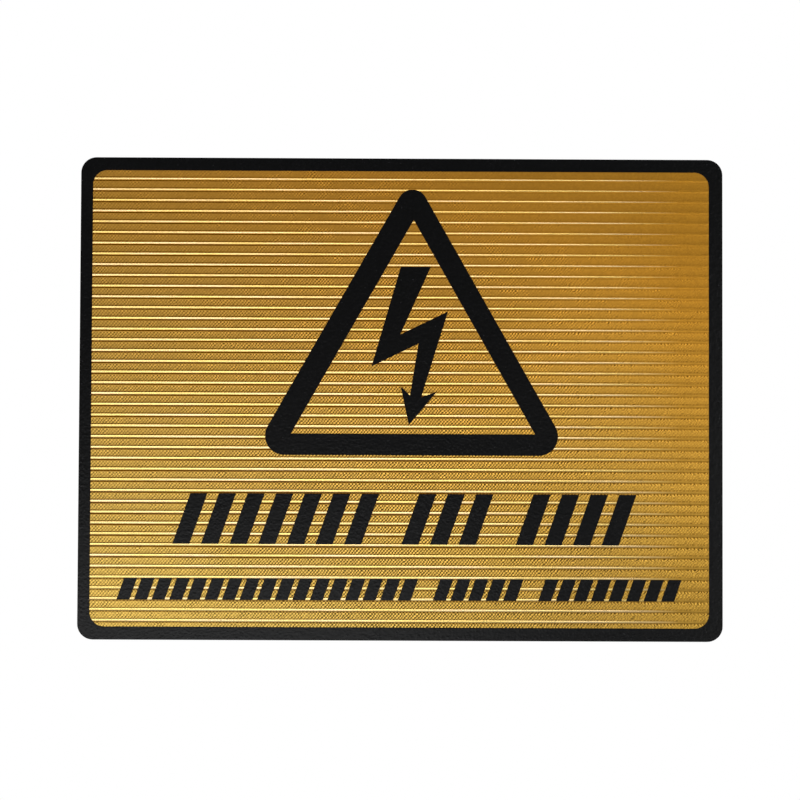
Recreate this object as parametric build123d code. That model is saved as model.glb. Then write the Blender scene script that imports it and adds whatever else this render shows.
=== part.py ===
from build123d import *
import math
import os

# A high voltage warning sign: a thin ribbed metal sheet with a thick black print on its face.
# X runs along the sign and Z up it. The back lies in the plane Y = 0 and the face looks along -Y.
# All sizes are in millimetres, and the origin is the centre of the back.

# The sheet
sheet_width = 120.0
sheet_height = 90.0
sheet_thickness = 0.5
sheet_corner_radius = 2.9

# The ribs that are rolled into the sheet, from edge to edge
rib_pitch = 2.01
rib_width = 0.6
rib_height = 0.07
first_rib_drop = 2.0  # from the sheet's top edge to the middle of the first rib

# The print, which fills the gaps between the ribs and levels out over them
print_cover = 0.05  # ink over the top of a rib

# The border, whose inner edge frames the panel. The print sits a little to the left.
border_left = 2.25
border_right = 2.55
border_top = 2.4
border_bottom = 2.45
panel_corner_radius = 2.7

# The warning triangle, a band round an open middle
triangle_width = 59.8  # between the points where its sides would meet
triangle_offset = 2.0  # of its middle, to the right of the sheet's middle
triangle_head_gap = 0.55  # from the panel's top edge to the point where its sides would meet
triangle_apex_radius = 2.8
triangle_foot_radius = 3.6
band_left = 4.45
band_right = 4.0
band_base = 4.0

# The flash arrow in the open middle
arrow_head_gap = 8.8  # from the top corner of the open middle
arrow_point_gap = 1.65  # from the bottom edge of the open middle
arrow_width = 14.25
arrow_offset = -0.4  # of the middle of its width, from the triangle's middle

# The two rows of slanted stripes under the triangle, each in three groups
stripe_lean = 0.35  # sideways run for each millimetre of height
triangle_gap = 7.2  # from the upper row to the triangle
upper_row_height = 9.4
upper_row_left = 15.3  # from the panel's left edge
upper_row_right = 13.5  # from the panel's right edge
upper_groups = (7, 3, 4)
upper_fill = 0.6  # the inked share of one stripe's pitch
row_gap = 6.4
lower_row_height = 4.0
lower_row_left = 5.0
lower_row_right = 5.1
lower_row_lift = 5.0  # from the panel's bottom edge
lower_groups = (17, 5, 8)
lower_fill = 0.74

# What follows from them
land = sheet_thickness
print_top = sheet_thickness + rib_height + print_cover
panel_left = -sheet_width / 2 + border_left
panel_right = sheet_width / 2 - border_right
panel_top = sheet_height / 2 - border_top
panel_bottom = -sheet_height / 2 + border_bottom
lower_row_foot = panel_bottom + lower_row_lift
upper_row_foot = lower_row_foot + lower_row_height + row_gap
triangle_base = upper_row_foot + upper_row_height + triangle_gap
triangle_head = panel_top - triangle_head_gap

# The arrow's outline as it was drawn, from its left corner and its point, clockwise from the top left
arrow_drawn_width = 14.25
arrow_drawn_height = 29.65
arrow_drawn = (
    (5.4, 29.65), (11.0, 29.65), (5.35, 16.95), (14.25, 21.3), (9.3, 5.2), (12.25, 6.3),
    (7.0, 0.0), (5.45, 7.25), (7.2, 5.55), (8.75, 15.25), (0.0, 10.95),
)


def face_plane(height):
    """The plane at a height above the back, with its normal out of the sign's face."""
    return Plane(origin=(0, -height, 0), x_dir=(1, 0, 0), z_dir=(0, -1, 0))


def sheet_outline():
    return RectangleRounded(sheet_width, sheet_height, sheet_corner_radius)


def sheet_section():
    """The sheet cut across its ribs: a flat back, and a face with one low arc for each rib."""
    top, bottom = sheet_height / 2, -sheet_height / 2
    edges = []
    z = top
    rib = top - first_rib_drop
    while rib - rib_width / 2 > bottom:
        upper, lower = rib + rib_width / 2, rib - rib_width / 2
        edges.append(Line((0, -land, z), (0, -land, upper)))
        edges.append(ThreePointArc((0, -land, upper), (0, -land - rib_height, rib), (0, -land, lower)))
        z = lower
        rib -= rib_pitch
    edges.append(Line((0, -land, z), (0, -land, bottom)))
    edges.append(Polyline((0, -land, bottom), (0, 0, bottom), (0, 0, top), (0, -land, top)))
    return make_face(edges)


def make_sheet():
    """One ribbed solid, trimmed to the rounded outline."""
    stock = extrude(Pos(-sheet_width / 2, 0, 0) * sheet_section(), amount=sheet_width, dir=(1, 0, 0))
    blank = extrude(face_plane(0) * sheet_outline(), amount=print_top)
    return stock & blank


def make_print(outline, sheet):
    """The ink over an outline, from the sheet's own surface up to the level top of the print."""
    start = sheet_thickness / 2
    coat = extrude(face_plane(start) * outline, amount=print_top - start, dir=(0, -1, 0))
    return coat - sheet


def panel_outline():
    panel = RectangleRounded(panel_right - panel_left, panel_top - panel_bottom, panel_corner_radius)
    return Pos((panel_left + panel_right) / 2, (panel_bottom + panel_top) / 2) * panel


def border_outline():
    return sheet_outline() - panel_outline()


def triangle_corners():
    """The left, right and top points where the triangle's outer sides would meet."""
    half = triangle_width / 2
    return (
        Vector(triangle_offset - half, triangle_base),
        Vector(triangle_offset + half, triangle_base),
        Vector(triangle_offset, triangle_head),
    )


def opening_corners():
    """The same points for the open middle, which lies inside by the three bands."""
    left, right, head = triangle_corners()
    rise = (head.Y - left.Y) / (head.X - left.X)
    slant = math.hypot(1, rise)
    base = left.Y + band_base
    start = left.X + band_left * slant / rise
    end = right.X - band_right * slant / rise
    left_foot = start + (base - left.Y) / rise
    right_foot = end - (base - left.Y) / rise
    peak = base + (right_foot - left_foot) / 2 * rise
    return (
        Vector(left_foot, base),
        Vector(right_foot, base),
        Vector((left_foot + right_foot) / 2, peak),
    )


def triangle_outline():
    corners = triangle_corners()
    outer = Polygon(*corners, align=None)
    head = outer.vertices().sort_by(Axis.Y)[-1]
    outer = fillet(head, triangle_apex_radius)
    feet = [v for v in outer.vertices() if v.Y < triangle_base + band_base / 2]
    outer = fillet(feet, triangle_foot_radius)
    return outer - Polygon(*opening_corners(), align=None)


def arrow_outline():
    left_foot, right_foot, peak = opening_corners()
    height = peak.Y - arrow_head_gap - (left_foot.Y + arrow_point_gap)
    across = arrow_width / arrow_drawn_width
    up = height / arrow_drawn_height
    left = triangle_offset + arrow_offset - arrow_width / 2
    foot = left_foot.Y + arrow_point_gap
    return Polygon(*[(left + x * across, foot + z * up) for x, z in arrow_drawn], align=None)


def stripe_row(foot, height, left, right, groups, fill):
    """Slanted stripes at one pitch from left to right, with one stripe left out between two groups."""
    lean = stripe_lean * height
    places = sum(groups) + len(groups) - 1
    pitch = (right - left - lean) / (places - 1 + fill)
    stripes = []
    place = 0
    for count in groups:
        for _ in range(count):
            x = left + place * pitch
            wide = fill * pitch
            corners = ((x, foot), (x + wide, foot), (x + wide + lean, foot + height), (x + lean, foot + height))
            stripes.append(Polygon(*corners, align=None))
            place += 1
        place += 1
    return Sketch(children=stripes)


def upper_row_outline():
    left, right = panel_left + upper_row_left, panel_right - upper_row_right
    return stripe_row(upper_row_foot, upper_row_height, left, right, upper_groups, upper_fill)


def lower_row_outline():
    left, right = panel_left + lower_row_left, panel_right - lower_row_right
    return stripe_row(lower_row_foot, lower_row_height, left, right, lower_groups, lower_fill)


sign_sheet = make_sheet()
nodes = {
    "sign_sheet": sign_sheet,
    "border_print": make_print(border_outline(), sign_sheet),
    "triangle_print": make_print(triangle_outline(), sign_sheet),
    "flash_arrow_print": make_print(arrow_outline(), sign_sheet),
    "upper_stripe_print": make_print(upper_row_outline(), sign_sheet),
    "lower_stripe_print": make_print(lower_row_outline(), sign_sheet),
}

os.makedirs("parts", exist_ok=True)
for name, solid in nodes.items():
    export_step(solid, f"parts/{name}.step")
    print(name, round(solid.volume, 2), "mm3")
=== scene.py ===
import math

import bmesh
import bpy
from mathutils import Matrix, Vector


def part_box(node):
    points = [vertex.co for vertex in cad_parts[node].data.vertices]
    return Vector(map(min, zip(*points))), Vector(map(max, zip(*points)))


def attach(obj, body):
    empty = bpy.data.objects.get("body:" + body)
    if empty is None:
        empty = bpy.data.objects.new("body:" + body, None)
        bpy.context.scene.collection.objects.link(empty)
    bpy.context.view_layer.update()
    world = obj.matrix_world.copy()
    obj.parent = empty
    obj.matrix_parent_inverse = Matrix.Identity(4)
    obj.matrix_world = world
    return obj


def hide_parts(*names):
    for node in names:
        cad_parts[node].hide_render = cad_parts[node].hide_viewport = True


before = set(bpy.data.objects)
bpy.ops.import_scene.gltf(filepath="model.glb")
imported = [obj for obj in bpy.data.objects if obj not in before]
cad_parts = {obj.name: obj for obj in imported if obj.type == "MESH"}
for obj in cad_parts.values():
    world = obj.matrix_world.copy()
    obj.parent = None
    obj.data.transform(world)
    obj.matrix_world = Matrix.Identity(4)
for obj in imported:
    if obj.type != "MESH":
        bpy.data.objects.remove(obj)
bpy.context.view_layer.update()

# The camera stands straight in front of the sign, a little below its middle, and looks slightly up.
# Its place and tilt were fitted to the four corners of the sign's outline.
camera_data = bpy.data.cameras.new("camera")
camera_data.sensor_width = 36
camera_data.lens = 108.505
camera_data.clip_start = 0.01
camera_data.clip_end = 50
camera = bpy.data.objects.new("camera", camera_data)
camera.location = (-0.001525, -0.450, -0.017055)
camera.rotation_euler = (math.radians(90 + 2.144), math.radians(-0.241), math.radians(-0.180))
bpy.context.scene.collection.objects.link(camera)
bpy.context.scene.camera = camera
bpy.context.scene.view_settings.view_transform = "Standard"


# The sign sheet: one plate of gold-coloured aluminium. Round ribs run across its face, rolled into it
# together with a fine slanted grain on the flats between them, and the plate is then cut to its outline.
mm = 0.001
rib_count = 44
rib_pitch = 2.01 * mm
rib_width = 0.6 * mm
rib_steps = 14  # strips of faces over one rib
first_rib_drop = 2.0 * mm  # from the top edge to the middle of the first rib
corner_radius = 2.9 * mm
corner_steps = 20
sharp_edge = math.radians(40)

low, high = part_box("sign_sheet")
sheet_width = high.x - low.x
sheet_height = high.z - low.z
land = -0.5 * mm  # where the face lies between the ribs. The back lies at 0.
rib_height = land - low.y


def feed(tree, socket, value):
    """Sets an input to a number or a colour, or links it to the output of another node."""
    if isinstance(value, bpy.types.NodeSocket):
        tree.links.new(value, socket)
    else:
        socket.default_value = value


def add_node(tree, kind, settings=(), **inputs):
    """A node with its settings, and its inputs by name: numbers, colours or outputs of other nodes."""
    made = tree.nodes.new(kind)
    for name, value in dict(settings).items():
        setattr(made, name, value)
    for name, value in inputs.items():
        feed(tree, made.inputs[name.replace("_", " ")], value)
    return made


def calc(tree, operation, *values):
    """One Math node. Each value is a number or the output of another node."""
    made = add_node(tree, "ShaderNodeMath", {"operation": operation})
    for socket, value in zip(made.inputs, values):
        feed(tree, socket, value)
    return made.outputs[0]


def ribbed_sheet_tree():
    """The rolled sheet: a thin box whose rows are gathered at the ribs and lifted there, then cut out."""
    tree = bpy.data.node_groups.new("ribbed sheet", "GeometryNodeTree")
    sizes = {
        "Width": "Float", "Height": "Float", "Thickness": "Float",
        "Rib Count": "Int", "Rib Steps": "Int", "Rib Pitch": "Float",
        "Rib Width": "Float", "Rib Height": "Float", "First Rib Drop": "Float",
        "Corner Radius": "Float", "Corner Steps": "Int", "Finish": "Material",
    }
    for name, kind in sizes.items():
        tree.interface.new_socket(name, in_out="INPUT", socket_type="NodeSocket" + kind)
    tree.interface.new_socket("Sheet", in_out="OUTPUT", socket_type="NodeSocketGeometry")
    given = tree.nodes.new("NodeGroupInput").outputs

    # Each rib has one row of vertices more than it has steps, and each of the two long edges has one
    rows_per_rib = calc(tree, "ADD", given["Rib Steps"], 1.0)
    rows = calc(tree, "MULTIPLY_ADD", given["Rib Count"], rows_per_rib, 2.0)
    size = add_node(tree, "ShaderNodeCombineXYZ", X=given["Width"], Y=given["Thickness"], Z=given["Height"])
    slab = add_node(tree, "GeometryNodeMeshCube", Size=size.outputs[0], Vertices_X=2, Vertices_Y=2)
    tree.links.new(rows, slab.inputs["Vertices Z"])

    # Each row's rib, and its place across that rib, from -0.5 at the top to 0.5
    position = tree.nodes.new("GeometryNodeInputPosition").outputs[0]
    position = add_node(tree, "ShaderNodeSeparateXYZ", Vector=position).outputs
    half_height = calc(tree, "MULTIPLY", given["Height"], 0.5)
    share_down = calc(tree, "SUBTRACT", half_height, position["Z"])
    share_down = calc(tree, "DIVIDE", share_down, given["Height"])
    row = calc(tree, "ROUND", calc(tree, "MULTIPLY", share_down, calc(tree, "SUBTRACT", rows, 1.0)))
    row_below_edge = calc(tree, "SUBTRACT", row, 1.0)
    rib = calc(tree, "FLOOR", calc(tree, "DIVIDE", row_below_edge, rows_per_rib))
    step = calc(tree, "SUBTRACT", row_below_edge, calc(tree, "MULTIPLY", rib, rows_per_rib))
    across = calc(tree, "SUBTRACT", calc(tree, "DIVIDE", step, given["Rib Steps"]), 0.5)

    # Down from the top edge: the first rib, whole pitches, and the place across the rib
    down = calc(tree, "MULTIPLY_ADD", rib, given["Rib Pitch"], given["First Rib Drop"])
    down = calc(tree, "MULTIPLY_ADD", across, given["Rib Width"], down)
    down = calc(tree, "MINIMUM", down, given["Height"])
    on_top_edge = calc(tree, "LESS_THAN", row, 0.5)
    down = calc(tree, "MULTIPLY", down, calc(tree, "SUBTRACT", 1.0, on_top_edge))
    place_z = calc(tree, "SUBTRACT", half_height, down)

    # The face rises over each rib in a soft round wave. The back stays flat.
    wave = calc(tree, "COSINE", calc(tree, "MULTIPLY", across, 2 * math.pi))
    rise = calc(tree, "MULTIPLY", calc(tree, "MULTIPLY_ADD", wave, 0.5, 0.5), given["Rib Height"])
    forward = calc(tree, "ADD", given["Thickness"], rise)
    is_front = calc(tree, "LESS_THAN", position["Y"], 0.0)
    place_y = calc(tree, "MULTIPLY", forward, calc(tree, "MULTIPLY", is_front, -1.0))
    place = add_node(tree, "ShaderNodeCombineXYZ", X=position["X"], Y=place_y, Z=place_z)
    rolled = add_node(
        tree, "GeometryNodeSetPosition", Geometry=slab.outputs["Mesh"], Position=place.outputs[0],
    )

    # The cutting outline, as a block four sheets deep that stands out on both sides of the sheet
    weld = 0.001 * mm
    outline = add_node(
        tree, "GeometryNodeCurvePrimitiveQuadrilateral", Width=given["Width"], Height=given["Height"],
    )
    rounded = add_node(
        tree, "GeometryNodeFilletCurve", {"mode": "POLY"},
        Curve=outline.outputs[0], Radius=given["Corner Radius"], Count=given["Corner Steps"],
    )
    flat = add_node(tree, "GeometryNodeFillCurve", {"mode": "NGONS"}, Curve=rounded.outputs[0])
    depth = calc(tree, "MULTIPLY", given["Thickness"], 4.0)
    wall = add_node(
        tree, "GeometryNodeExtrudeMesh", {"mode": "FACES"}, Mesh=flat.outputs[0], Offset_Scale=depth,
    )
    bottom = add_node(tree, "GeometryNodeFlipFaces", Mesh=flat.outputs[0])
    closed = tree.nodes.new("GeometryNodeJoinGeometry")
    tree.links.new(wall.outputs["Mesh"], closed.inputs[0])
    tree.links.new(bottom.outputs["Mesh"], closed.inputs[0])
    block = add_node(tree, "GeometryNodeMergeByDistance", Geometry=closed.outputs[0], Distance=weld)
    lift = add_node(tree, "ShaderNodeCombineXYZ", Y=calc(tree, "MULTIPLY", depth, 0.5))
    standing = add_node(
        tree, "GeometryNodeTransform", Geometry=block.outputs[0], Translation=lift.outputs[0],
        Rotation=(math.radians(90), 0, 0),
    )
    cut = add_node(tree, "GeometryNodeMeshBoolean", {"operation": "INTERSECT", "solver": "EXACT"})
    tree.links.new(rolled.outputs[0], cut.inputs["Mesh 2"])
    tree.links.new(standing.outputs[0], cut.inputs["Mesh 2"])
    whole = add_node(tree, "GeometryNodeRealizeInstances", Geometry=cut.outputs["Mesh"])
    finished = add_node(tree, "GeometryNodeSetMaterial", Geometry=whole.outputs[0], Material=given["Finish"])
    tree.links.new(finished.outputs[0], tree.nodes.new("NodeGroupOutput").inputs[0])
    return tree


def finished_mesh(source, tree, values):
    """The mesh that a Geometry Nodes tree makes with these inputs."""
    holder = bpy.data.objects.new("holder", source)
    bpy.context.scene.collection.objects.link(holder)
    modifier = holder.modifiers.new("build", "NODES")
    modifier.node_group = tree
    for item in tree.interface.items_tree:
        if item.name in values:
            modifier[item.identifier] = values[item.name]
    depsgraph = bpy.context.evaluated_depsgraph_get()
    mesh = bpy.data.meshes.new_from_object(holder.evaluated_get(depsgraph))
    holder.modifiers.clear()
    bpy.data.objects.remove(holder)
    return mesh


def mottle_group():
    """Shared by the metal and the ink: a soft cloud and a fine speckle, as one factor round 1."""
    group = bpy.data.node_groups.new("mottle", "ShaderNodeTree")
    usual = {"Cloud Size mm": 8.0, "Cloud": 0.05, "Speckle Size mm": 0.2, "Speckle": 0.05}
    for name, value in usual.items():
        socket = group.interface.new_socket(name, in_out="INPUT", socket_type="NodeSocketFloat")
        socket.default_value = value
    group.interface.new_socket("Factor", in_out="OUTPUT", socket_type="NodeSocketFloat")
    given = group.nodes.new("NodeGroupInput").outputs
    place = group.nodes.new("ShaderNodeTexCoord").outputs["Object"]
    full_swing = 4.0  # brings the noise's usual swing, a quarter, up to 1
    factor = 1.0
    for size, amount in (("Cloud Size mm", "Cloud"), ("Speckle Size mm", "Speckle")):
        scale = calc(group, "DIVIDE", 1 / mm, given[size])
        noise = add_node(group, "ShaderNodeTexNoise", Vector=place, Scale=scale, Detail=2.0)
        swing = calc(group, "SUBTRACT", noise.outputs[0], 0.5)
        strength = calc(group, "MULTIPLY", given[amount], full_swing)
        factor = calc(group, "ADD", factor, calc(group, "MULTIPLY", swing, strength))
    group.links.new(factor, group.nodes.new("NodeGroupOutput").inputs[0])
    return group


mottle = mottle_group()


def between(tree, value, start, end, curve="LINEAR"):
    """A mask: 0 before the start, 1 past the end, and a ramp from one to the other."""
    ramp = add_node(
        tree, "ShaderNodeMapRange", {"interpolation_type": curve}, Value=value, From_Min=start, From_Max=end,
    )
    return ramp.outputs[0]


def faded(tree, value, mask, outside, inside):
    """A value times one number where the mask is 0, and times another where it is 1."""
    factor = calc(tree, "MULTIPLY_ADD", mask, inside - outside, outside)
    return calc(tree, "MULTIPLY", value, factor)


def tinted(tree, colour, factor, tint, blend="MIX"):
    """A colour mixed with a tint, or multiplied by it, as far as the factor says."""
    mixed = add_node(tree, "ShaderNodeMix", {"data_type": "RGBA", "blend_type": blend}, Factor=factor)
    feed(tree, mixed.inputs[6], colour)
    feed(tree, mixed.inputs[7], tint)
    return mixed.outputs[2]


class RibbedFace:
    """Where a point of the sheet lies, in mm, and masks over its face, as nodes of the sheet's material."""

    def __init__(self, tree):
        self.tree = tree
        place = add_node(tree, "ShaderNodeMapping", Scale=(1 / mm, 1 / mm, 1 / mm))
        tree.links.new(tree.nodes.new("ShaderNodeTexCoord").outputs["Object"], place.inputs["Vector"])
        self.place = place.outputs[0]
        axes = add_node(tree, "ShaderNodeSeparateXYZ", Vector=self.place).outputs
        self.x = axes["X"]
        self.z = axes["Z"]
        skin = 0.01  # mm behind the flats, within which a point still counts as on the face
        self.on_face = calc(tree, "LESS_THAN", axes["Y"], land / mm + skin)

        # The number of the nearest rib, and how far below its middle the point lies
        first_rib = (sheet_height / 2 - first_rib_drop) / mm
        self.pitches_down = calc(tree, "DIVIDE", calc(tree, "SUBTRACT", first_rib, self.z), rib_pitch / mm)
        self.rib_number = calc(tree, "ROUND", self.pitches_down)
        past_rib = calc(tree, "SUBTRACT", self.pitches_down, self.rib_number)
        self.below_rib = calc(tree, "MULTIPLY", past_rib, rib_pitch / mm)

        # A ramp from 0 at the face's top right to 1 at its lower left, which the painted light and shade and
        # the grain follow. The back has one value.
        back_drift = 0.4
        sideways = 0.35  # mm upwards that a mm to the right counts for
        drift_end = 50  # mm above and below the middle
        climb = calc(tree, "MULTIPLY_ADD", self.x, sideways, self.z)
        past_back = calc(tree, "SUBTRACT", between(tree, climb, drift_end, -drift_end), back_drift)
        self.drift = calc(tree, "MULTIPLY_ADD", past_back, self.on_face, back_drift)

    def band(self, middle, half_width, softness, spread=1.0):
        """A mask of a band along each rib. Its middle is so far below the rib's, and spread widens it."""
        away = calc(self.tree, "ABSOLUTE", calc(self.tree, "SUBTRACT", self.below_rib, middle))
        away = calc(self.tree, "DIVIDE", away, spread)
        edge = between(self.tree, away, half_width + softness, half_width - softness, "SMOOTHSTEP")
        return calc(self.tree, "MULTIPLY", edge, self.on_face)

    def noise_along_ribs(self, shortness, rib_step):
        """A noise that runs on along each rib and differs from one rib to the next."""
        along = calc(self.tree, "MULTIPLY", self.x, shortness)
        down = calc(self.tree, "MULTIPLY", self.rib_number, rib_step)
        spot = add_node(self.tree, "ShaderNodeCombineXYZ", X=along, Z=down)
        noise = add_node(self.tree, "ShaderNodeTexNoise", Vector=spot.outputs[0], Scale=1.0, Detail=1.0)
        return noise.outputs[0]


def rib_highlight_and_shade(face):
    """Masks of each rib's crest, painted pale as a highlight that ends near the right border, and of its two
    feet, painted dark as shade.
    """
    tree = face.tree
    # The crest is painted pale as a highlight, wider towards the lower left and ending near the right
    # border. The same mask makes the crest smoother.
    highlight_spread = calc(tree, "ADD", face.drift, 0.62)
    crest_and_highlight = face.band(middle=-0.04, half_width=0.12, softness=0.06, spread=highlight_spread)
    crest_and_highlight = calc(tree, "MULTIPLY", crest_and_highlight, between(tree, face.x, 52, 40))

    # The painted shade at the feet is fainter towards the top right, towards the right edge, and near the
    # bottom edge
    foot_shade = calc(tree, "MULTIPLY", between(tree, face.drift, -0.15, 0.35), between(tree, face.x, 90, 5))
    foot_shade = faded(tree, foot_shade, between(tree, face.z, -36, -28), 0.65, 1.0)
    lower_foot_shade = face.band(middle=0.30, half_width=0.14, softness=0.05)
    upper_foot_shade = face.band(middle=-0.38, half_width=0.11, softness=0.05)
    lower_foot_shade = calc(tree, "MULTIPLY", lower_foot_shade, foot_shade)
    upper_foot_shade = calc(tree, "MULTIPLY", upper_foot_shade, foot_shade)
    return crest_and_highlight, lower_foot_shade, upper_foot_shade


def pressed_grain(face):
    """The grain's height on the flats, above and below 0, and a wave along its main lines, from 0 to 0.5."""
    tree = face.tree
    line_pitch = 0.62  # mm along the ribs
    lines_down = 3.0  # from one rib to the next
    waver = 0.9  # pitches that the lines stray sideways at most
    unrest = 1.8  # pitches that they stray on top of that at the right, at most

    # Slanted lines in step with the ribs, crossed by fainter ones
    to_right = between(tree, face.x, 12, 45)
    stray = add_node(tree, "ShaderNodeTexNoise", Vector=face.place, Scale=1.1, Detail=1.0).outputs
    across = calc(tree, "DIVIDE", face.x, line_pitch)
    across = calc(tree, "MULTIPLY_ADD", stray[0], waver, across)
    second_stray = add_node(tree, "ShaderNodeSeparateColor", Color=stray["Color"]).outputs["Green"]
    line_across = calc(tree, "MULTIPLY_ADD", second_stray, calc(tree, "MULTIPLY", to_right, unrest), across)
    line_down = calc(tree, "MULTIPLY", face.pitches_down, lines_down)
    main_lines = calc(tree, "PINGPONG", calc(tree, "ADD", line_across, line_down), 0.5)
    cross_lines = calc(tree, "PINGPONG", calc(tree, "SUBTRACT", line_across, line_down), 0.5)
    grain = calc(tree, "MULTIPLY_ADD", main_lines, 1.25, calc(tree, "MULTIPLY", cross_lines, 0.75))
    over_rib = face.band(middle=0.0, half_width=0.20, softness=0.05)
    on_flat = calc(tree, "SUBTRACT", face.on_face, over_rib)
    grain = calc(tree, "MULTIPLY", calc(tree, "SUBTRACT", grain, 0.5), on_flat)

    # They are deepest just under each rib, where short ticks stand as well, and fainter at the right
    under_rib = face.band(middle=0.48, half_width=0.13, softness=0.08)
    depth = calc(tree, "MULTIPLY_ADD", under_rib, 0.50, calc(tree, "MULTIPLY_ADD", to_right, -0.35, 0.97))
    grain = calc(tree, "MULTIPLY", grain, depth)
    ticks = calc(tree, "PINGPONG", calc(tree, "ADD", across, face.pitches_down), 0.5)
    ticks = calc(tree, "MULTIPLY", calc(tree, "SUBTRACT", ticks, 0.25), under_rib)
    grain = calc(tree, "ADD", faded(tree, ticks, to_right, 0.8, 2.2), grain)

    # It is uneven from spot to spot, fades towards the top right corner, and is deepest in the middle
    worn = add_node(tree, "ShaderNodeTexNoise", Vector=face.place, Scale=0.9, Detail=2.0)
    grain = faded(tree, grain, between(tree, worn.outputs[0], 0.38, 0.62), 0.65, 1.45)
    grain = faded(tree, grain, between(tree, face.drift, -0.05, 0.6), 0.3, 1.0)
    grain = calc(tree, "MULTIPLY", grain, between(tree, face.drift, -0.03, 0.15))
    deepest_x = 2.0
    beside = calc(tree, "ABSOLUTE", calc(tree, "SUBTRACT", face.x, deepest_x))
    grain = faded(tree, grain, between(tree, beside, 45, 5), 0.84, 1.76)

    # Towards the top right it is missing along some stretches of some ribs
    bare = between(tree, face.noise_along_ribs(0.22, 2.3), 0.56, 0.42)
    bare = calc(tree, "MULTIPLY", bare, between(tree, face.drift, 0.5, 0.15))
    grain = faded(tree, grain, bare, 1.0, 0.0)
    return grain, main_lines


def film_colour(face, grain):
    """The gold film: painted deep at the top right and paler towards the lower left as light and shade, and
    painted darker in the grain's hollows as shade.
    """
    tree = face.tree
    # The two golds are the film as painted in shade and in light, and the dimmer tint is painted shade for
    # the lower right.
    shaded_gold = (0.355, 0.154, 0.0152, 1)
    lit_gold = (0.392, 0.255, 0.055, 1)
    yellower = (1.02, 1.03, 0.88, 1)
    shade_tint = (0.80, 0.77, 0.74, 1)
    cooler = (0.91, 0.97, 1.15, 1)
    colour = tinted(tree, shaded_gold, face.drift, lit_gold)

    # Yellower towards the right edge, painted darker at the lower right as shade, and cooler at the top
    # right corner
    right = calc(tree, "MULTIPLY", between(tree, face.x, -10, 55), face.on_face)
    colour = tinted(tree, colour, right, yellower, "MULTIPLY")
    lower_right_shade = calc(tree, "MULTIPLY", between(tree, face.x, 0, 35), between(tree, face.z, -16, -38))
    lower_right_shade = calc(tree, "MULTIPLY", lower_right_shade, face.on_face)
    colour = tinted(tree, colour, lower_right_shade, shade_tint, "MULTIPLY")
    colour = tinted(tree, colour, between(tree, face.drift, 0.12, 0.0), cooler, "MULTIPLY")

    # Cloudy all over, and painted brighter on the grain's high lines and darker in its hollows, as light and
    # shade on its relief
    clouds = add_node(
        tree, "ShaderNodeGroup", {"node_tree": mottle},
        Cloud_Size_mm=14, Cloud=0.04, Speckle_Size_mm=0.35, Speckle=0.12,
    )
    grain_shading = 1.8
    darkest = 0.15
    brightness = calc(tree, "MULTIPLY_ADD", grain, grain_shading, clouds.outputs[0])
    brightness = calc(tree, "MAXIMUM", brightness, darkest)

    # A painted pool of light, a little brighter, on a broad patch in the right half
    patch_x = 35.0
    patch_z = 12.5
    beside = calc(tree, "ABSOLUTE", calc(tree, "SUBTRACT", face.x, patch_x))
    above = calc(tree, "ABSOLUTE", calc(tree, "SUBTRACT", face.z, patch_z))
    light_patch = calc(tree, "MULTIPLY", between(tree, beside, 28, 4), between(tree, above, 32, 4))
    light_patch = calc(tree, "MULTIPLY", light_patch, face.on_face)
    brightness = faded(tree, brightness, light_patch, 1.0, 1.18)
    return tinted(tree, colour, 1.0, brightness, "MULTIPLY")


def gold_material():
    """Gold-coloured metal. The ribs are smooth on their crests, which are painted pale as a highlight, and
    painted dark as shade at their feet.
    """
    material = bpy.data.materials.new("gold sheet")
    material.use_nodes = True
    tree = material.node_tree
    shader = tree.nodes["Principled BSDF"]
    shader.inputs["Metallic"].default_value = 1.0
    film_roughness = 0.38
    crest_roughness = 0.19
    # The two crest colours are a painted highlight, and the foot colour is painted shade.
    yellow_highlight = (0.61, 0.45, 0.15, 1)
    white_highlight = (0.63, 0.47, 0.24, 1)
    foot_shade_colour = (0.085, 0.027, 0.0, 1)
    relief_depth = 0.03 * mm

    face = RibbedFace(tree)
    crest_and_highlight, lower_foot_shade, upper_foot_shade = rib_highlight_and_shade(face)
    grain, main_lines = pressed_grain(face)

    # The painted highlight on the crests turns from yellow to white and back along each rib. The lines of
    # the grain notch the painted shade at the feet.
    highlight_whiteness = between(tree, face.noise_along_ribs(0.06, 3.7), 0.4, 0.6)
    crest_highlight_colour = tinted(tree, yellow_highlight, highlight_whiteness, white_highlight)
    lower_foot_shade = calc(tree, "MULTIPLY", lower_foot_shade, calc(tree, "MULTIPLY_ADD", main_lines, -0.6, 1.22))
    upper_foot_shade = calc(tree, "MULTIPLY", upper_foot_shade, calc(tree, "MULTIPLY_ADD", main_lines, -1.0, 0.95))
    colour = tinted(tree, film_colour(face, grain), crest_and_highlight, crest_highlight_colour)
    colour = tinted(tree, colour, lower_foot_shade, foot_shade_colour)
    colour = tinted(tree, colour, upper_foot_shade, foot_shade_colour)
    tree.links.new(colour, shader.inputs["Base Color"])

    roughness = calc(tree, "MULTIPLY_ADD", crest_and_highlight, crest_roughness - film_roughness, film_roughness)
    tree.links.new(roughness, shader.inputs["Roughness"])

    # The relief of the grain, and on the back the streaks that the rolls leave
    streaks = add_node(tree, "ShaderNodeMapping", Vector=face.place, Scale=(0.05, 1, 9))
    rolled = add_node(tree, "ShaderNodeTexNoise", Vector=streaks.outputs[0], Scale=1.0, Detail=3.0)
    back_relief = calc(tree, "MULTIPLY", rolled.outputs[0], calc(tree, "SUBTRACT", 1.0, face.on_face))
    relief = calc(tree, "MULTIPLY_ADD", back_relief, 0.3, grain)
    bump = add_node(tree, "ShaderNodeBump", Height=relief, Distance=relief_depth, Strength=1.0)
    tree.links.new(bump.outputs[0], shader.inputs["Normal"])
    return material


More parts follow.
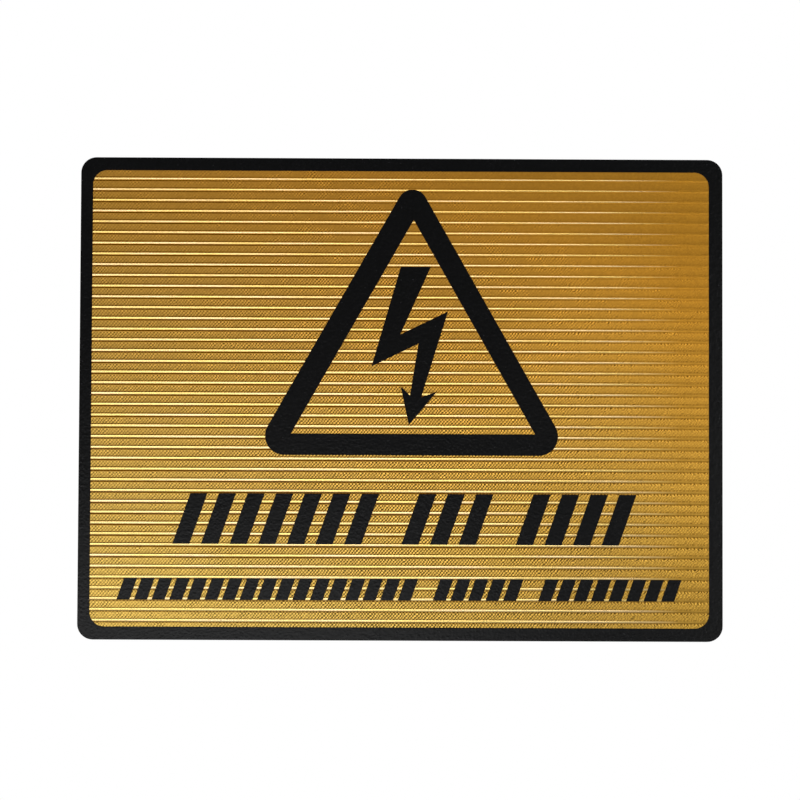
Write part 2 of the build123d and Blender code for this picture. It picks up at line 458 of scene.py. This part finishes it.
sheet_mesh = finished_mesh(
    bpy.data.meshes.new("sheet blank"),
    ribbed_sheet_tree(),
    {
        "Width": sheet_width, "Height": sheet_height, "Thickness": -land,
        "Rib Count": rib_count, "Rib Steps": rib_steps, "Rib Pitch": rib_pitch,
        "Rib Width": rib_width, "Rib Height": rib_height, "First Rib Drop": first_rib_drop,
        "Corner Radius": corner_radius, "Corner Steps": corner_steps, "Finish": gold_material(),
    },
)
sheet_mesh.name = "ribbed_sheet"
sheet_mesh.shade_smooth()
sheet_mesh.set_sharp_from_angle(angle=sharp_edge)
ribbed_sheet = bpy.data.objects.new("ribbed_sheet", sheet_mesh)
bpy.context.scene.collection.objects.link(ribbed_sheet)
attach(ribbed_sheet, "root")
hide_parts("sign_sheet")


# The border: a thick coat of matt black ink, screened over the ribs up to the sheet's edge. It fills the
# gaps between the ribs and dries level, with a slightly rounded rim.
print_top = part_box("border_print")[0].y
ink_rim = 0.035 * mm
ink_rim_steps = 3


def ink_material():
    """Matt black ink with a faint unevenness and a few specks of dust."""
    material = bpy.data.materials.new("black ink")
    material.use_nodes = True
    tree = material.node_tree
    shader = tree.nodes["Principled BSDF"]
    shader.inputs["Specular IOR Level"].default_value = 0.095
    shader.inputs["Roughness"].default_value = 0.22
    black = (0.0016, 0.0017, 0.0019, 1)
    dust = (0.018, 0.018, 0.020, 1)
    dust_spacing = 2.2 * mm
    relief_depth = 0.018 * mm

    clouds = add_node(
        tree, "ShaderNodeGroup", {"node_tree": mottle},
        Cloud_Size_mm=6, Cloud=0.12, Speckle_Size_mm=0.4, Speckle=0.60,
    )
    coat = tinted(tree, black, 1.0, clouds.outputs[0], "MULTIPLY")

    # One cell in three of a loose pattern has a speck, up to a twentieth of the spacing in radius
    axes = tree.nodes.new("ShaderNodeTexCoord").outputs["Object"]
    axes = add_node(tree, "ShaderNodeSeparateXYZ", Vector=axes).outputs
    on_plane = add_node(tree, "ShaderNodeCombineXYZ", X=axes["X"], Y=axes["Z"])
    cells = add_node(
        tree, "ShaderNodeTexVoronoi", {"voronoi_dimensions": "2D"},
        Vector=on_plane.outputs[0], Scale=1 / dust_spacing,
    ).outputs
    chance = add_node(tree, "ShaderNodeSeparateColor", Color=cells["Color"]).outputs["Red"]
    radius = calc(tree, "MULTIPLY_ADD", chance, 0.16, -0.11)
    speck = calc(tree, "LESS_THAN", cells["Distance"], radius)
    tree.links.new(tinted(tree, coat, speck, dust), shader.inputs["Base Color"])

    bump = add_node(tree, "ShaderNodeBump", Height=clouds.outputs[0], Distance=relief_depth, Strength=1.0)
    tree.links.new(bump.outputs[0], shader.inputs["Normal"])
    return material


ink = ink_material()


def ink_relief(name, node):
    """A print as a closed solid with a rounded rim, on the outline of the CAD node that it stands for."""
    hair = 0.001 * mm  # less than this counts as nothing
    level = 0.999  # a face whose normal reaches this along Y counts as flat

    def on_top(vertex):
        return abs(vertex.co.y - print_top) < hair

    # Only the level top stays of the CAD node's copy, and its triangles become whole faces
    shape = bmesh.new()
    shape.from_mesh(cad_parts[node].data)
    bmesh.ops.remove_doubles(shape, verts=shape.verts, dist=hair / 2)
    below_top = [f for f in shape.faces if not all(on_top(v) for v in f.verts)]
    bmesh.ops.delete(shape, geom=below_top, context="FACES")
    bmesh.ops.dissolve_limit(
        shape, angle_limit=math.radians(0.5), verts=shape.verts, edges=shape.edges, delimit=set()
    )

    # It is drawn down to the flats between the ribs, and the edge round its top is rounded
    grown = bmesh.ops.extrude_face_region(shape, geom=list(shape.faces))
    for vertex in grown["geom"]:
        if isinstance(vertex, bmesh.types.BMVert):
            vertex.co.y = land
    bmesh.ops.recalc_face_normals(shape, faces=shape.faces)
    rim = [
        e for e in shape.edges
        if all(on_top(v) for v in e.verts) and e.calc_face_angle(0) > math.radians(45)
    ]
    bmesh.ops.bevel(
        shape, geom=rim, offset=ink_rim, offset_type="OFFSET", segments=ink_rim_steps, profile=0.5,
        affect="EDGES", clamp_overlap=True,
    )
    mesh = bpy.data.meshes.new(name)
    shape.to_mesh(mesh)
    shape.free()
    for face in mesh.polygons:
        face.use_smooth = abs(face.normal.y) < level
    mesh.materials.append(ink)
    piece = bpy.data.objects.new(name, mesh)
    bpy.context.scene.collection.objects.link(piece)
    return piece


border = ink_relief("border", "border_print")
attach(border, "root")
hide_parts("border_print")


# The warning triangle: a broad band of the same ink round an open middle, with its outer corners rounded.
# It is printed in one pass with the border.
triangle = ink_relief("warning_triangle", "triangle_print")
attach(triangle, "root")
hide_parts("triangle_print")


# The flash arrow: the zigzag of a lightning stroke that ends in an arrowhead. It is of the same ink, printed
# in the same pass, and stands free in the middle of the triangle.
flash_arrow = ink_relief("flash_arrow", "flash_arrow_print")
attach(flash_arrow, "root")
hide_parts("flash_arrow_print")


# The two rows of slanted stripes under the triangle. Each stripe is a field of its own, of the same ink and
# printed in the same pass.
upper_stripes = ink_relief("upper_stripes", "upper_stripe_print")
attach(upper_stripes, "root")
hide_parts("upper_stripe_print")
lower_stripes = ink_relief("lower_stripes", "lower_stripe_print")
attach(lower_stripes, "root")
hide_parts("lower_stripe_print")


# The studio: a pale floor a little below the sign, which is held up by its back, and a white surround.
# The floor is plain where the shadow falls, and turns into the white surround further off.
floor_drop = 0.100
floor_reach = 6.0
plain_reach = 0.26
white_reach = 0.50
room_light = 0.34

floor_mesh = bpy.data.meshes.new("floor")
floor_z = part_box("sign_sheet")[0].z - floor_drop
corners = [
    (-floor_reach, -floor_reach, floor_z), (floor_reach, -floor_reach, floor_z),
    (floor_reach, floor_reach, floor_z), (-floor_reach, floor_reach, floor_z),
]
floor_mesh.from_pydata(corners, [], [(0, 1, 2, 3)])
floor = bpy.data.objects.new("floor", floor_mesh)
bpy.context.scene.collection.objects.link(floor)

floor_finish = bpy.data.materials.new("pale floor")
floor_finish.use_nodes = True
tree = floor_finish.node_tree
paint = tree.nodes["Principled BSDF"]
paint.inputs["Base Color"].default_value = (0.8, 0.8, 0.8, 1)
paint.inputs["Roughness"].default_value = 0.9
paint.inputs["Specular IOR Level"].default_value = 0.1
white = add_node(tree, "ShaderNodeEmission", Color=(1, 1, 1, 1), Strength=1.0)
distance = add_node(tree, "ShaderNodeVectorMath", {"operation": "LENGTH"})
tree.links.new(tree.nodes.new("ShaderNodeTexCoord").outputs["Object"], distance.inputs[0])
far_off = between(tree, distance.outputs["Value"], plain_reach, white_reach, "SMOOTHSTEP")
path = tree.nodes.new("ShaderNodeLightPath").outputs
seen = calc(tree, "MAXIMUM", path["Is Camera Ray"], path["Is Glossy Ray"])
seen = calc(tree, "MAXIMUM", seen, path["Is Transmission Ray"])
blend = add_node(tree, "ShaderNodeMixShader")
tree.links.new(calc(tree, "MULTIPLY", seen, far_off), blend.inputs[0])
tree.links.new(paint.outputs[0], blend.inputs[1])
tree.links.new(white.outputs[0], blend.inputs[2])
tree.links.new(blend.outputs[0], tree.nodes["Material Output"].inputs["Surface"])
floor_mesh.materials.append(floor_finish)

# The surround is white behind the sign, and dimmer in front of it, where it lights the face. The ramp
# from one to the other goes by how far a direction points back.
dim_up_to = -0.2
white_from = 0.4
world = bpy.data.worlds.new("surround")
bpy.context.scene.world = world
world.use_nodes = True
tree = world.node_tree
towards = tree.nodes.new("ShaderNodeTexCoord").outputs["Generated"]
towards = add_node(tree, "ShaderNodeSeparateXYZ", Vector=towards).outputs
level = add_node(
    tree, "ShaderNodeMapRange", {"interpolation_type": "SMOOTHSTEP"},
    Value=towards["Y"], From_Min=dim_up_to, From_Max=white_from, To_Min=room_light, To_Max=1.0,
)
tree.nodes["Background"].inputs["Color"].default_value = (1, 1, 1, 1)
tree.links.new(level.outputs[0], tree.nodes["Background"].inputs["Strength"])


# The lamps: a high softbox in front, a little to the left, which draws the bright lines on the ribs, a long
# low one near the floor, whose light falls off towards the top of the sign, and one at the right for that
# side of the face. All three look straight back.
def softbox(name, place, width, height, radiance):
    """A soft rectangular lamp. A radiance of 1 is as bright as white."""
    lamp = bpy.data.lights.new(name, "AREA")
    lamp.shape = "RECTANGLE"
    lamp.size = width
    lamp.size_y = height
    lamp.energy = radiance * math.pi * width * height
    holder = bpy.data.objects.new(name, lamp)
    holder.location = place
    holder.rotation_euler = Vector((0, 1, 0)).to_track_quat("-Z", "Y").to_euler()
    holder.visible_camera = False
    bpy.context.scene.collection.objects.link(holder)


softbox("high softbox", place=(-0.048, -0.60, 0.43), width=0.305, height=0.26, radiance=4.3)
softbox("low softbox", place=(-0.103, -0.40, -0.120), width=0.275, height=0.13, radiance=4.3)
softbox("right softbox", place=(0.235, -0.40, -0.020), width=0.16, height=0.17, radiance=4.1)
